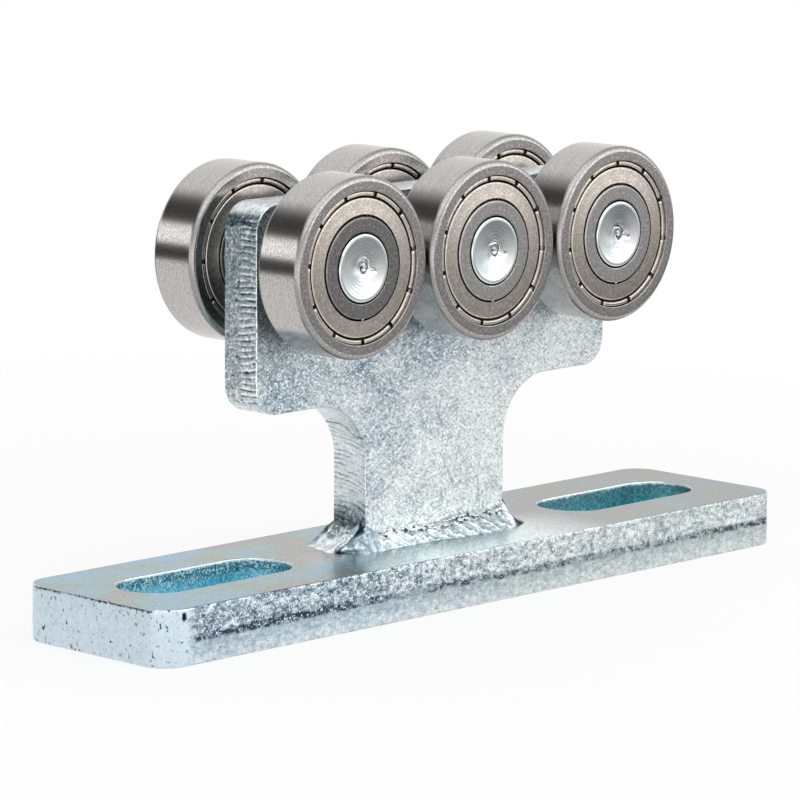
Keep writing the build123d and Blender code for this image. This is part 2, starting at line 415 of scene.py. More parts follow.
class Plate:
    """A flat plate whose walls carry relief. put turns a point of its outline and a height into a place."""

    def __init__(self, put):
        self.put = put
        self.vertices = []
        self.tones = []
        self.faces = []
        self.loops = ([], [])

    def wall(self, ring, heights, relief=None):
        """Walls along a ring of (point, outward direction), with relief giving an offset and a shade."""
        first = len(self.vertices)
        for here, out in ring:
            for height, inset in heights:
                off, tone = relief(here, out, height) if relief else (0.0, 0.5)
                self.vertices.append(self.put(here + out * (off - inset), height))
                self.tones.append(tone)
        count = len(heights)
        self.faces += [tuple(first + v for v in f) for f in grid_faces(len(ring), count, True, False)]
        self.loops[0].append([first + i * count for i in range(len(ring))])
        self.loops[1].append([first + i * count + count - 1 for i in range(len(ring))])

    def cover(self, flat, in_hole):
        """Fill both flat faces. flat gives a vertex's two coordinates there."""
        for loops in self.loops:
            order = [v for loop in loops for v in loop]
            edges = []
            start = 0
            for loop in loops:
                edges += [(start + i, start + (i + 1) % len(loop)) for i in range(len(loop))]
                start += len(loop)
            spots = [flat(self.vertices[v]) for v in order]
            points, _, triangles, sources, _, _ = geometry.delaunay_2d_cdt(spots, edges, [], 1, 1e-6)
            for triangle in triangles:
                middle = sum((points[v] for v in triangle), Vector((0, 0))) / 3
                if not in_hole(middle) and all(sources[v] for v in triangle):
                    self.faces.append(tuple(order[sources[v][0]] for v in triangle))


def head_edge(here, out, y, share, mottle):
    """Relief and shade of the head's flame cut edge: dashes near the front, pits, and smooth corners."""
    x, z = here
    side = math.copysign(5.0, x)
    rough = smooth(0.72, 0.84, abs(out.x))
    zone = window(0.0, 0.06, 0.40, 0.60, share) * rough
    line = z / 1.12 + 0.7 * grain(z * 0.2, share * 1.3, side) + 0.5 * share * share
    wave = math.sin(2 * math.pi * line) + 0.7 * grain(z * 1.2, share * 5, side + 2)
    patchy = smooth(-0.3, 0.25, grain(z * 0.5, share * 2, side + 7))
    dash = smooth(0.40, 0.95, wave) * (0.35 + 0.65 * patchy)
    # glint is a painted highlight beside each dark dash.
    glint = smooth(0.3, 0.9, math.sin(2 * math.pi * (line - 0.28)) + 0.8 * grain(z * 1.4, share * 6, side))
    scribble = smooth(0.16, 0.0, abs(grain(z * 1.3, y * 1.5, side + 3, 2))) * rough * (1 - 0.7 * zone)
    flake = smooth(0.24, 0.42, grain(z * 2.1, y * 1.6, side + 13)) * rough
    under_corner = window(69.0, 70.2, 71.6, 72.4, z) * rough
    pit = smooth(-0.34, -0.50, grain(z * 0.9, y * 1.1, side + 31)) * rough
    off = -0.07 * dash * zone + 0.04 * mottle * rough - 0.04 * scribble - 0.10 * pit + 0.05 * flake
    off += 0.07 * grain(y * 0.2, z * 0.15 + x * 0.1, 9.0) * rough
    front = smooth(0.10, 0.0, share) * (1 - rough)
    off -= 0.12 * front * max(0.0, grain(z * 0.9, x * 0.9, 2.0, 2) + 0.2)
    tone = 0.80 - 0.26 * rough - 0.52 * dash * zone + 0.32 * glint * zone + 0.32 * flake - 0.30 * scribble
    # The first term in rough's bracket paints a highlight line along the front edge.
    tone += 0.22 * mottle + rough * (0.35 * smooth(0.035, 0.0, share) + 0.12 * smooth(62, 42, z))
    return off, tone - 0.26 * under_corner - 0.3 * pit


def neck_edge(here, y, share, mottle):
    """Relief and shade of the neck's edge: light, with thin curved drag lines, dark beside the weld."""
    x, z = here
    side = math.copysign(5.0, x)
    straight = smooth(HEAD_BOTTOM - 3, HEAD_BOTTOM - 7, z)
    line = (z + 1.4 * (1 - share) ** 2) / 0.85 + 0.8 * grain(z * 0.3, share * 1.2, side + 9)
    dash = smooth(0.50, 0.95, math.sin(2 * math.pi * line)) * straight
    dash *= 0.15 + 0.85 * smooth(-0.30, 0.25, grain(z * 0.8, share * 1.8, side + 4))
    crease = bell(z - 32.6 + 2.4 * smooth(0.55, 0.1, share), 0.14) if x < 0 else 0.0
    scorched = smooth(19.0, 14.6, z)
    tone = 0.82 - 0.36 * dash - 0.45 * crease - 0.48 * scorched + 0.24 * mottle * (0.5 + scorched)
    return -0.05 * dash - 0.04 * crease + 0.03 * mottle, tone


def cut_edge(here, out, y):
    """Relief and shade of the hanger's outline at a point and a place across its thickness."""
    x, z = here
    if z < BASE_TOP + 0.3:
        return 0.0, 0.5
    share = (y + PLATE_HALF) / (2 * PLATE_HALF)
    mottle = grain(z * 1.7, y * 1.7 + math.copysign(5.0, x), x * 0.3, 3)
    if z > HEAD_BOTTOM - 0.4:
        off, tone = head_edge(here, out, y, share, mottle)
    else:
        off, tone = neck_edge(here, y, share, mottle)
    inner = window(0.0, 0.06, 0.94, 1.0, share)
    return off * (0.4 + 0.6 * inner) - 0.04, tone


def in_bore(point):
    return any((point - Vector((c * WHEEL_PITCH, AXLE_HEIGHT))).length < BORE_RADIUS for c in (-1, 0, 1))


def hanger():
    """Tee plate with drag lines on its flame cut edges."""
    right = [
        (NECK_HALF, BASE_TOP, 0),
        (NECK_HALF, HEAD_BOTTOM, NECK_FILLET),
        (HEAD_HALF, HEAD_BOTTOM, HEAD_CORNER),
        (HEAD_HALF, HEAD_TOP, HEAD_CORNER),
    ]
    left = [(-x, z, radius) for x, z, radius in right]
    corners = left[:1] + right + left[:0:-1]
    plate = Plate(lambda point, y: (point.x, y, point.y))
    ring = resample(rounded_outline(corners, steps=30, support=0), HANGER_SPACING)
    plate.wall(ring, levels(-PLATE_HALF, PLATE_HALF, 0.24, 30), cut_edge)
    for column in (-1, 0, 1):
        middle = Vector((column * WHEEL_PITCH, AXLE_HEIGHT))
        inward = [Vector((-math.cos(a), math.sin(a))) for a in even_angles(BORE_POINTS)]
        plate.wall([(middle - d * BORE_RADIUS, d) for d in inward], [(-PLATE_HALF, 0.0), (PLATE_HALF, 0.0)])
    plate.cover(lambda v: Vector((v[0], v[2])), in_bore)
    piece = mesh_object("flame_cut_hanger", plate.vertices, plate.faces, tones=plate.tones,
                        sharp=hard_rims(1, -PLATE_HALF, PLATE_HALF))
    piece.data.materials.append(LOOKS["hanger_plate"])
    piece.data.materials.append(LOOKS["cut_edge"])
    for face in piece.data.polygons:
        if abs(face.normal.y) < 0.9:
            face.material_index = 1
    return piece


def hard_rims(axis, low, high):
    """A test for the rims of a plate's two flat faces, which stay hard so that the faces stay flat."""
    def is_hard(first, second):
        return all(min(abs(p[axis] - low), abs(p[axis] - high)) < 1e-3 for p in (first, second))
    return is_hard


def bar_relief(here, out, z):
    """The bar's sides wave a little, and a rough burr runs along its left end."""
    off = 0.05 * grain(here.x * 0.2, here.y * 0.2 + z * 0.3, 4.0, 2)
    burr = smooth(BASE_TOP - 0.9, BASE_TOP - 0.3, z) * smooth(0.6, 0.9, -out.x)
    return off - 0.16 * burr * max(0.0, grain(here.y * 1.1, 5.0, 1.0, 2) + 0.25), 0.5


def slot_relief(here, out, z):
    return 0.08 * grain(here.x * 0.8, here.y * 0.8 + z * 0.5, 14.0, 2), 0.5


def in_slot(point):
    beside = max(0.0, abs(abs(point.x) - SLOT_PLACE) - (SLOT_HALF[0] - SLOT_HALF[1]))
    return math.hypot(beside, point.y) < SLOT_HALF[1] + SLOT_RIM - 0.15


def bar():
    """Slotted bar with rounded edges and rounded, uneven slot rims."""
    x, y = BASE_HALF
    corners = both_sides([(-x, -y, BASE_CORNER), (x, -y, BASE_CORNER)])
    plate = Plate(lambda point, z: (point.x, point.y, z))
    ring = resample(rounded_outline(corners, steps=20, support=0), BAR_SPACING)
    plate.wall(ring, levels(0.0, BASE_TOP, 0.32, 16), bar_relief)
    reach, half = SLOT_HALF
    for middle in (-SLOT_PLACE, SLOT_PLACE):
        turns = [(middle + a * reach, b * half, half) for a, b in ((-1, -1), (-1, 1), (1, 1), (1, -1))]
        ring = resample(rounded_outline(turns, steps=24, support=0), BAR_SPACING)
        plate.wall(ring, levels(0.0, BASE_TOP, SLOT_RIM, 16, 6), slot_relief)
    plate.cover(lambda v: Vector((v[0], v[1])), in_slot)
    return mesh_object("slotted_bar", plate.vertices, plate.faces, sharp=hard_rims(2, 0.0, BASE_TOP))


# Reach of the weld along the bar and up the neck, by place round the neck's foot: the place counts
# from the front left corner along the front, the right end, the back and the left end, in shares
WELD_OUT = (
    (0.00, 2.6), (0.10, 2.4), (0.42, 2.5), (0.60, 3.6), (0.83, 4.5), (0.97, 3.9), (1.06, 4.8),
    (1.3, 4.9), (1.75, 4.4), (2.0, 3.7), (2.4, 3.3), (2.88, 3.4), (3.03, 5.1),
    (3.3, 5.4), (3.65, 6.2), (3.85, 6.2), (4.0, 2.6),
)
WELD_UP = (
    (0.00, 5.0), (0.06, 4.6), (0.13, 3.2), (0.30, 3.5), (0.48, 2.9), (0.68, 3.8), (0.85, 3.6),
    (0.95, 4.6), (1.0, 5.6), (1.5, 5.2), (2.0, 4.6), (2.2, 3.4), (2.8, 3.4), (3.0, 4.8),
    (3.5, 4.6), (4.0, 5.0),
)


def weld_foot():
    """Points round the neck's foot with their outward direction and their place along it in shares."""
    corner = 0.7
    foot = []
    spots = ((-1, -1), (1, -1), (1, 1), (-1, 1))
    for start, (x, y) in enumerate(spots):
        middle = Vector((x * (NECK_HALF - corner), y * (PLATE_HALF - corner)))
        first = math.pi + math.pi / 2 * start
        for k in range(25):
            angle = first + math.pi / 2 * k / 24
            out = Vector((math.cos(angle), math.sin(angle)))
            foot.append((middle + out * corner, out, (start + (k / 24 - 0.5) * 0.16) % 4))
        finish = spots[(start + 1) % 4]
        away = Vector((finish[0] * (NECK_HALF - corner), finish[1] * (PLATE_HALF - corner))) - middle
        pieces = math.ceil(away.length / WELD_SPACING)
        for k in range(1, pieces):
            far = k / pieces
            foot.append((middle + out * corner + away * far, out, start + 0.08 + 0.84 * far))
    return foot


def weld():
    """Fillet weld round the neck's foot: crescent ripples along its sides, hollow ends and their folds."""
    foot = weld_foot()
    vertices = []
    tones = []
    run = 0.0
    last = foot[0][0]
    for here, out, share in foot:
        run += (here - last).length
        last = here
        uneven = grain(run * 0.45, 0.0, 4.0, 2)
        reach = along(WELD_OUT, share) * (1 + 0.04 * uneven)
        height = along(WELD_UP, share) * (1 + 0.09 * grain(run * 0.55, 3.0, 8.0, 2))
        on_front = window(0.06, 0.20, 0.90, 0.96, share)
        on_back = window(2.08, 2.2, 2.8, 2.92, share)
        on_side = max(on_front, 0.9 * on_back)
        at_left = window(2.94, 3.02, 3.88, 3.98, share)
        at_right = window(0.91, 0.985, 1.95, 2.03, share)
        at_end = max(at_left, at_right)
        lobe = max(smooth(3.84, 3.93, share), smooth(0.14, 0.05, share))
        inner = here - out * 0.5
        vertices += [(inner.x, inner.y, BASE_TOP - 0.02), (inner.x, inner.y, BASE_TOP + height)]
        tones += [0.5, 0.5]
        bulge = 0.62 - 0.05 * on_side - 0.32 * at_end
        normal = Vector((height, reach)).normalized()
        for k in range(WELD_ROWS + 1):
            t = k / WELD_ROWS
            a = 2 * t * (1 - t) * bulge * reach + t * t * reach
            up = (1 - t) ** 2 * height + 2 * t * (1 - t) * bulge * height
            body = math.sin(math.pi * min(1.0, t * 1.04)) ** 0.7 if 0 < t < 0.96 else 0.0
            lean = -4.4 * t**1.9 + 0.5 * grain(run * 0.5, t * 1.5, 1.0)
            phase = (run + lean) / WELD_PITCH + 0.45 * uneven
            wave = phase - math.floor(phase)
            lower = smooth(0.26, 0.50, t)
            ripple = (0.17 * wave**1.8 - 0.07) * on_side * (0.2 + 0.8 * lower)
            patch = smooth(0.04, 0.28, grain(run * 0.75, t * 6.0, 11.0, 2)) * smooth(0.50, 0.34, t)
            patch *= smooth(0.04, 0.12, t) * max(on_side, 0.2)
            spot = here + out * a
            blotch = grain(spot.x * 0.8, spot.y * 0.8, up * 0.8 + 17.0, 2)
            speck = grain(spot.x * 2.2, spot.y * 2.2, up * 2.2 + 5.0, 2)
            rough = 0.04 * speck + 0.10 * grain(spot.x * 0.5, spot.y * 0.5, up * 0.5)
            fold, shade = weld_fold(share, t)
            off = (ripple + rough - 0.12 * patch + 0.10 * blotch * at_end) * body + fold
            a, up = a + normal.x * off, max(0.0, up + normal.y * off)
            vertices.append((here.x + out.x * a, here.y + out.y * a, BASE_TOP + up))
            # Painted highlight on each ripple's crest, and painted shade in the trough just behind it.
            lit_crest = window(0.76, 0.90, 0.95, 1.0, wave) * smooth(1.0, 0.86, t)
            # The upper band of the sides and the left end are painted lighter, as lit; shade carries the
            # folds' painted shade and highlights.
            tone = 0.53 + 0.26 * (1 - lower) * on_side + shade + 0.22 * at_left - 0.14 * lobe
            tone += on_side * lower * (0.50 * lit_crest - 0.16 * smooth(0.40, 0.0, wave))
            tone -= 0.66 * patch - 0.20 * blotch * at_end + 0.55 * at_left * smooth(0.20, 0.05, t)
            tone -= 0.45 * window(2.90, 2.97, 3.0, 3.07, share)
            tone -= 0.55 * window(0.90, 0.97, 1.2, 1.4, share) * smooth(0.70, 0.92, t)
            tones.append(tone + 0.22 * speck + 0.15 * blotch)
        outer = here + out * (reach + 0.02)
        vertices.append((outer.x, outer.y, BASE_TOP - 0.02))
        tones.append(0.4)
    faces = grid_faces(len(foot), WELD_ROWS + 4, True, True)
    return mesh_object("rippled_weld", vertices, faces, tones=tones)


def weld_fold(share, t):
    """Relief and shade of the creases where the beads meet, at the left end and at the right end."""
    middle = window(0.0, 0.15, 0.88, 1.0, t)
    left = share - along(((0.0, 3.95), (0.30, 3.90), (0.72, 3.78), (0.82, 3.79), (1.0, 3.89)), t)
    crease = bell(left, 0.065) * smooth(1.02, 0.93, t)
    lip = bell(left - 0.12, 0.09) * middle
    ridge = bell(left + 0.14, 0.06) * middle
    right = share - (0.980 - 0.01 * t)
    lit_crest = bell(right + 0.060, 0.03) * middle
    gutter = bell(right, 0.026) * smooth(0.02, 0.15, t)
    off = -0.60 * crease + 0.40 * lip + 0.15 * ridge + 0.12 * lit_crest - 0.30 * gutter
    # Painted shade in the crease and the gutter, and painted highlights on the ridge and the crest.
    return off, 0.22 * ridge - 1.1 * crease + 0.25 * lit_crest - 1.0 * gutter


class Shader:
    """The nodes of a material or of the world, with short ways to add and join them."""

    def __init__(self, owner):
        self.owner = owner
        owner.use_nodes = True
        self.tree = owner.node_tree
        self.tree.nodes.clear()
        self.place = self.add("ShaderNodeTexCoord").outputs

    def add(self, kind, **settings):
        node = self.tree.nodes.new(kind)
        for key, value in settings.items():
            setattr(node, key, value)
        return node

    def join(self, source, target):
        """Link a socket, or set a number, a vector or a colour."""
        if isinstance(source, (int, float)):
            target.default_value = source
        elif isinstance(source, (tuple, list)):
            target.default_value = (*source, 1.0) if len(target.default_value) == 4 else tuple(source)
        else:
            self.tree.links.new(source, target)

    def result(self, kind, *sources, output=0, **settings):
        """An output of a new node that has these as its first inputs."""
        node = self.add(kind, **settings)
        for source, target in zip(sources, node.inputs):
            self.join(source, target)
        return node.outputs[output]

    def math(self, operation, *values, clamp=False):
        return self.result("ShaderNodeMath", *values, operation=operation, use_clamp=clamp)

    plus = partialmethod(math, "ADD")
    minus = partialmethod(math, "SUBTRACT")
    times = partialmethod(math, "MULTIPLY")
    times_plus = partialmethod(math, "MULTIPLY_ADD")
    magnitude = partialmethod(math, "ABSOLUTE")
    larger = partialmethod(math, "MAXIMUM")
    smaller = partialmethod(math, "MINIMUM")
    is_below = partialmethod(math, "LESS_THAN")

    def parts(self, vector):
        node = self.add("ShaderNodeSeparateXYZ")
        self.join(vector, node.inputs[0])
        return node.outputs

    def axes(self):
        """The three object coordinates in metres."""
        return self.parts(self.place["Object"])

    def facing(self):
        """The three parts of the surface's direction in the object's own frame."""
        return self.parts(self.place["Normal"])

    def radius(self):
        """Distance from the object's own Y axis in metres."""
        x, _, z = self.axes()
        return self.math("SQRT", self.plus(self.times(x, x), self.times(z, z)))

    def tone(self):
        """The mesh's own shade."""
        return self.add("ShaderNodeAttribute", attribute_name="tone").outputs["Fac"]

    def rays(self):
        """Whether a ray comes from the camera, and whether it comes from a mirror or through glass."""
        path = self.add("ShaderNodeLightPath").outputs
        return path["Is Camera Ray"], self.larger(path["Is Glossy Ray"], path["Is Transmission Ray"])

    def noise(self, size, detail=2.0, roughness=0.5, stretch=(1, 1, 1), shift=0.0, turn=(0, 0, 0),
              vector=None):
        """Noise with features of about this size in millimetres, longer along a turned axis by its
        stretch."""
        if vector is None:
            place = (self.place["Object"], (shift, shift, shift), turn, stretch)
            vector = self.result("ShaderNodeMapping", *place, vector_type="TEXTURE")
        node = self.add("ShaderNodeTexNoise")
        for key, value in (("Vector", vector), ("Scale", 1 / (size * MM)), ("Detail", detail),
                           ("Roughness", roughness)):
            self.join(value, node.inputs[key])
        return node.outputs["Fac"]

    def crack(self, size, width, shift, stretch=(1, 1, 1)):
        """Thin winding lines in cells of about this size in millimetres."""
        field = self.noise(size, detail=3, roughness=0.6, stretch=stretch, shift=shift)
        return self.spread(self.magnitude(self.minus(field, 0.5)), width, width * 0.4)

    def rings(self, size):
        """Fine concentric lines round the Y axis, of about this width in millimetres."""
        vector = self.result("ShaderNodeCombineXYZ", self.radius(), self.axes()[1])
        return self.noise(size, detail=3, roughness=0.6, vector=vector)

    def ramp(self, factor, *stops):
        """Colour or grey by a factor. Each stop is (position, grey or colour)."""
        node = self.add("ShaderNodeValToRGB")
        elements = node.color_ramp.elements
        while len(elements) < len(stops):
            elements.new(0.5)
        for element, (position, colour) in zip(elements, stops):
            element.position = position
            colour = (colour,) * 3 if isinstance(colour, (int, float)) else colour
            element.color = (*colour, 1.0)
        self.join(factor, node.inputs["Fac"])
        return node.outputs["Color"]

    def spread(self, value, low, high, to_low=0.0, to_high=1.0):
        """Map a value's range to another, held at its ends."""
        return self.result("ShaderNodeMapRange", value, low, high, to_low, to_high)

    def mix(self, factor, first, second, kind="RGBA"):
        """Mixture of two colours, or with the kind VECTOR of two directions."""
        node = self.add("ShaderNodeMix", data_type=kind)
        place, output = {"RGBA": (6, 2), "VECTOR": (4, 1)}[kind]
        for source, index in ((factor, 0), (first, place), (second, place + 1)):
            self.join(source, node.inputs[index])
        return node.outputs[output]

    def bump(self, height, distance):
        """Relief of this distance in millimetres."""
        node = self.add("ShaderNodeBump")
        node.inputs["Distance"].default_value = distance * MM
        self.join(height, node.inputs["Height"])
        return node.outputs["Normal"]

    def end(self, surface, kind="ShaderNodeOutputMaterial"):
        self.join(surface, self.add(kind).inputs["Surface"])
        return self.owner

    def finish(self, colour, roughness, normal, metallic=1.0):
        surface = self.add("ShaderNodeBsdfPrincipled")
        for key, value in (("Base Color", colour), ("Roughness", roughness), ("Normal", normal),
                           ("Metallic", metallic)):
            self.join(value, surface.inputs[key])
        return self.end(surface.outputs["BSDF"])


def material(name):
    return Shader(bpy.data.materials.new(name))


def needle_zinc(name):
    """Zinc on rolled plate, crazed all over by fine dark lines and needles; bluer and painted darker above
    and at the left.
    """
    s = material(name)
    x, _, z = s.axes()
    turns = (1.1, -0.85, 1.75)
    felts = [s.noise(0.27, detail=1.5, roughness=0.6, stretch=(1, 1, 3.2), shift=t * 0.01, turn=(0, t, 0))
             for t in turns]
    dark = s.smaller(s.smaller(felts[0], felts[1]), felts[2])
    light = s.larger(felts[0], felts[1])
    patch = s.noise(2.0, roughness=0.6)
    coarse = s.crack(0.95, 0.034, 0.011, stretch=(1.5, 1, 1))
    fine = s.crack(0.55, 0.045, 0.027, stretch=(1.5, 1, 1))
    crazed = s.times(coarse, s.spread(patch, 0.42, 0.56, 0.2, 1.0))
    crazed = s.larger(crazed, s.times(fine, s.spread(patch, 0.58, 0.42, 0.15, 0.9)))
    # Bluer and darker above, towards the wheels, and at the left: blue passivation, with painted shade of
    # the wheels.
    tint_and_wheel_shade = s.times_plus(s.noise(9, detail=3, roughness=0.6), 1.5, s.spread(z, 0.026, 0.052, 0, 0.42))
    tint_and_wheel_shade = s.plus(tint_and_wheel_shade, s.spread(x, -0.040, 0.030, 0.34, 0.0))
    blue = s.spread(tint_and_wheel_shade, 0.90, 1.40)
    base = s.mix(blue, (0.765, 0.805, 0.80), (0.435, 0.535, 0.585))
    deep = s.mix(blue, (0.18, 0.23, 0.26), (0.027, 0.07, 0.13))
    colour = s.mix(s.spread(dark, 0.40, 0.32, 0.0, 0.7), base, deep)
    colour = s.mix(s.times(crazed, s.spread(blue, 0.0, 1.0, 0.42, 0.85)), colour, deep)
    colour = s.mix(s.spread(light, 0.60, 0.66, 0.0, 0.8), colour, (0.97, 0.99, 1.0))
    vein = s.crack(6, 0.010, 0.013, stretch=(1, 1, 6))
    vein = s.times(vein, s.spread(s.noise(7, detail=1, shift=0.02), 0.50, 0.62, 0.0, 0.45))
    vein = s.times(vein, s.spread(s.magnitude(x), 0.024, 0.016))
    colour = s.mix(vein, colour, (0.12, 0.20, 0.26))
    return s.finish(colour, s.spread(dark, 0.3, 0.5, 0.52, 0.36), s.bump(felts[0], 0.03))


def toned_metal(name, stops, rough, strength=0.5, relief=0.03, turned=False):
    """Metal shaded by its mesh's own tone, broken up by fine grain or by fine turned lines."""
    s = material(name)
    fine = s.noise(0.25, detail=3, roughness=0.7)
    if turned:
        fine = s.times_plus(s.rings(0.22), 0.6, s.times(fine, 0.4))
    mixed = s.times_plus(s.minus(fine, 0.5), strength, s.tone())
    return s.finish(s.ramp(mixed, *stops), s.spread(mixed, 0.2, 0.9, *rough), s.bump(fine, relief))


def satin_metal(name, dark, light, relief=0.01, rough=(0.34, 0.22), metallic=1.0):
    """Smoother surface with soft light and dark patches."""
    s = material(name)
    fine = s.noise(0.6, detail=3, roughness=0.6)
    tone = s.ramp(fine, (0.35, dark), (0.65, light))
    return s.finish(tone, s.spread(fine, 0.3, 0.7, *rough), s.bump(fine, relief), metallic)


def bar_top(s):
    """Colour of the bar's flat faces: satin grey with faint blue, lilac, green and straw tints."""
    x, y, _ = s.axes()
    tint = s.noise(9, roughness=0.6, stretch=(1.6, 1, 1), shift=0.3)
    tint = s.plus(tint, s.spread(x, -0.08, 0.0, -0.07, 0.02))
    top = s.ramp(tint, (0.32, (0.24, 0.44, 0.60)), (0.41, (0.28, 0.42, 0.45)),
                 (0.49, (0.285, 0.38, 0.335)), (0.56, (0.355, 0.35, 0.28)), (0.64, (0.37, 0.305, 0.37)))
    warm = s.spread(s.times_plus(s.noise(25, detail=1), 0.03, x), 0.02, 0.085, 0.0, 0.7)
    top = s.mix(warm, top, (0.243, 0.250, 0.242))
    beside_weld = s.times(s.spread(s.magnitude(x), 0.034, 0.014), s.spread(y, 0.002, -0.006))
    top = s.mix(beside_weld, top, (0.88, 1.0, 1.0))
    satin = s.noise(0.45, detail=3, roughness=0.7, stretch=(1.5, 1, 1))
    top = s.mix(s.spread(satin, 0.34, 0.60, 0.45, 0.0), top, (0.16, 0.20, 0.21))
    spots = s.spread(s.noise(1.1, detail=1, shift=0.7), 0.70, 0.76, 0.0, 0.6)
    return s.mix(spots, top, (0.16, 0.14, 0.12)), satin


def bar_side(s, crystals):
    """Colour of the bar's long sides: heavy crystals above a dark rolling streak, smoother below."""
    x, _, z = s.axes()
    drift = s.noise(9, stretch=(5, 1, 1))
    height = s.times_plus(drift, 0.0010, z)
    upper = s.spread(height, 0.0052, 0.0060)
    at_left = s.spread(s.times_plus(drift, 0.02, x), -0.035, 0.02, 1.0, 0.0)
    streak = s.spread(s.magnitude(s.minus(height, 0.0052)), 0.0009, 0.0004)
    broken = s.spread(s.noise(1.6, detail=3, stretch=(2, 1, 1), shift=0.4), 0.40, 0.52, 0.35, 1.0)
    along_bar = s.ramp(s.spread(x, -0.08, 0.08), (0.04, 0.7), (0.08, 1.0), (0.31, 1.0), (0.35, 0.25),
                       (0.39, 0.30), (0.43, 0.75), (0.70, 0.55), (0.88, 0.8))
    streak = s.times(s.times(streak, broken), along_bar)
    contrast = s.times(upper, s.spread(x, -0.02, 0.05, 0.75, 0.25))
    contrast = s.larger(s.plus(contrast, 0.45), s.times(streak, 2.0))
    clump = s.minus(s.noise(2.6, detail=3, roughness=0.6, stretch=(2.5, 1, 1), shift=0.6), 0.5)
    shade = s.times_plus(s.minus(crystals, 0.5), contrast, 0.515)
    shade = s.times_plus(s.times(clump, upper), 0.25, shade)
    shade = s.minus(shade, s.times(upper, s.spread(at_left, 0, 1, -0.037, 0.023)))
    shade = s.plus(shade, s.spread(height, 0.0045, 0.0008, 0.0, 0.08))
    shade = s.times_plus(streak, -0.21, shade)
    blue = s.ramp(shade, (0.30, (0.026, 0.045, 0.07)), (0.42, (0.17, 0.24, 0.31)),
                  (0.54, (0.40, 0.50, 0.56)), (0.68, (0.84, 0.87, 0.90)))
    grey = s.ramp(shade, (0.30, (0.044, 0.062, 0.08)), (0.42, (0.205, 0.255, 0.27)),
                  (0.54, (0.44, 0.50, 0.51)), (0.68, (0.82, 0.85, 0.855)))
    side = s.mix(at_left, grey, blue)
    glint = s.spread(s.noise(0.34, detail=1, shift=0.33), 0.655, 0.70)
    side = s.mix(s.times(glint, s.larger(upper, streak)), side, (1.0, 1.0, 1.0))
    rust = s.spread(s.noise(1.3, shift=0.9), 0.70, 0.73, 0.0, 0.8)
    return s.mix(rust, side, (0.24, 0.15, 0.11))


def corner_crack(s, side, crystals):
    """A short dark crack down the left end of the bar's front."""
    x, y, z = s.axes()
    bent = s.times_plus(s.noise(1.5, detail=1), 0.0012, x)
    crack = s.spread(s.magnitude(s.plus(bent, 0.0747)), 0.00050, 0.00025)
    crack = s.times(crack, s.spread(s.times_plus(crystals, 0.003, z), 0.0091, 0.0096))
    crack = s.times(crack, s.spread(z, 0.0095, 0.0092))
    return s.mix(s.times(crack, s.spread(y, -0.0165, -0.0172)), side, (0.01, 0.012, 0.015))


def bar_end(s, crystals):
    """Colour of the bar's ends: pale blue with dark pits, a burr along the top and rusty marks below."""
    _, _, z = s.axes()
    soft = s.ramp(crystals, (0.3, (0.53, 0.65, 0.75)), (0.7, (0.70, 0.79, 0.84)))
    pits = s.spread(s.noise(0.85, roughness=0.6, stretch=(1, 0.8, 1.4), shift=0.15), 0.350, 0.325)
    soft = s.mix(pits, soft, (0.05, 0.09, 0.12))
    specks = s.spread(s.noise(0.32, detail=1, shift=0.25), 0.30, 0.27, 0.0, 0.7)
    soft = s.mix(specks, soft, (0.16, 0.22, 0.26))
    ragged = s.times_plus(s.noise(1.2, detail=3, roughness=0.7), 0.0016, z)
    burr = s.times(s.spread(ragged, 0.0102, 0.0105), s.spread(z, 0.00995, 0.0098))
    flat = s.spread(s.magnitude(s.facing()[0]), 0.90, 0.97)
    soft = s.mix(s.times(burr, flat), soft, (0.03, 0.035, 0.04))
    rust = s.times(s.spread(s.noise(1.6, shift=0.5), 0.65, 0.70), s.spread(z, 0.0018, 0.0006))
    return s.mix(rust, soft, (0.28, 0.19, 0.15))


def slot_wall(s):
    """Colour in the slots: blue passivation, darker above with painted glitter there at the left, and a
    painted highlight along the rim."""
    x, _, z = s.axes()
    crystals = s.noise(0.42, detail=3, roughness=0.8)
    height = s.times_plus(s.noise(2.5, stretch=(3, 1, 1)), 0.0024, z)
    deep = s.ramp(crystals, (0.40, (0.02, 0.13, 0.18)), (0.51, (0.12, 0.35, 0.42)),
                  (0.57, (0.50, 0.74, 0.82)), (0.61, (1.0, 1.0, 1.0)))
    calm = s.ramp(crystals, (0.32, (0.06, 0.22, 0.27)), (0.66, (0.20, 0.44, 0.49)))
    deep = s.mix(s.spread(x, -0.02, 0.02, 0.0, 0.85), deep, calm)
    vivid = s.ramp(crystals, (0.36, (0.08, 0.38, 0.50)), (0.56, (0.28, 0.70, 0.82)),
                   (0.66, (0.85, 0.98, 1.0)))
    teal = s.ramp(crystals, (0.36, (0.06, 0.28, 0.335)), (0.58, (0.17, 0.51, 0.58)),
                  (0.68, (0.65, 0.85, 0.88)))
    clear = s.mix(s.spread(x, -0.02, 0.02), vivid, teal)
    wall = s.mix(s.spread(height, 0.0084, 0.0096), clear, deep)
    # A painted highlight along the top rim of the wall, with a ragged lower edge.
    ragged = s.times_plus(s.noise(0.9, detail=3, roughness=0.7), 0.0012, z)
    return s.mix(s.spread(ragged, 0.0100, 0.0103), wall, (0.86, 0.93, 0.95))


